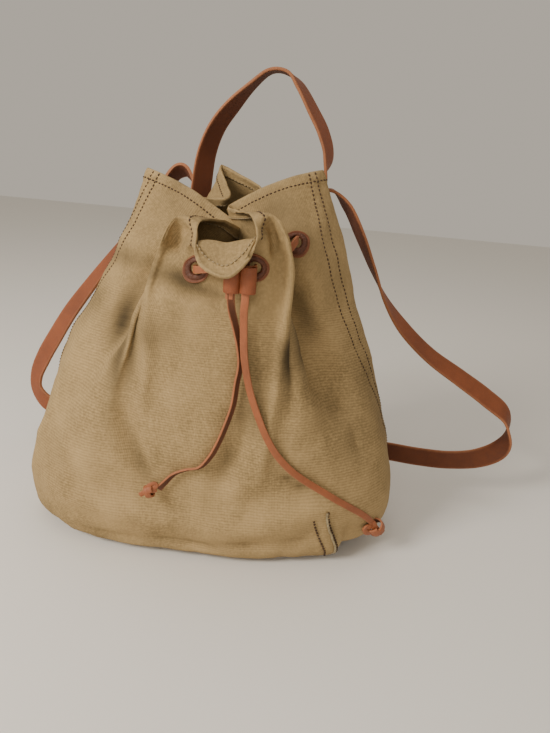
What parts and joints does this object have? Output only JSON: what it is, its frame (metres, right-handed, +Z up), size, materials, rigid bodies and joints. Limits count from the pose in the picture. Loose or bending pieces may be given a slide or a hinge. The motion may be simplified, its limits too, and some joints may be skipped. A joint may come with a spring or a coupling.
{
  "type": "canvas backpack",
  "caption": "Canvas bucket backpack with a laced, gathered mouth, a leather carry handle and two leather shoulder straps.",
  "frame": {"origin": "on the ground under the middle of the base", "axes": "+Z up, -Y towards the front with the keeper and the free lace ends, +X to the right as seen from the front"},
  "size_m": [0.5845, 0.2375, 0.4395],
  "materials": {
    "canvas": "waxed khaki duck canvas, matte",
    "strap_leather": "tan bridle leather, satin",
    "lace_leather": "rawhide lace, satin",
    "eyelet_leather": "red-brown leather rings, satin"
  },
  "bodies": {
    "root": {"canvas_body": "canvas", "eyelet_1": "eyelet_leather", "eyelet_2": "eyelet_leather", "eyelet_3": "eyelet_leather", "eyelet_4": "eyelet_leather", "eyelet_5": "eyelet_leather", "eyelet_6": "eyelet_leather", "eyelet_7": "eyelet_leather", "eyelet_8": "eyelet_leather", "eyelet_9": "eyelet_leather", "eyelet_10": "eyelet_leather", "cord_keeper": "strap_leather", "drawstring_loop": "lace_leather", "lace_tail_left": "lace_leather", "lace_tail_right": "lace_leather", "lace_knot_left": "lace_leather", "lace_knot_right": "lace_leather", "shoulder_strap_left": "strap_leather", "shoulder_strap_right": "strap_leather", "carry_handle": "strap_leather"}
  },
  "joints": []
}
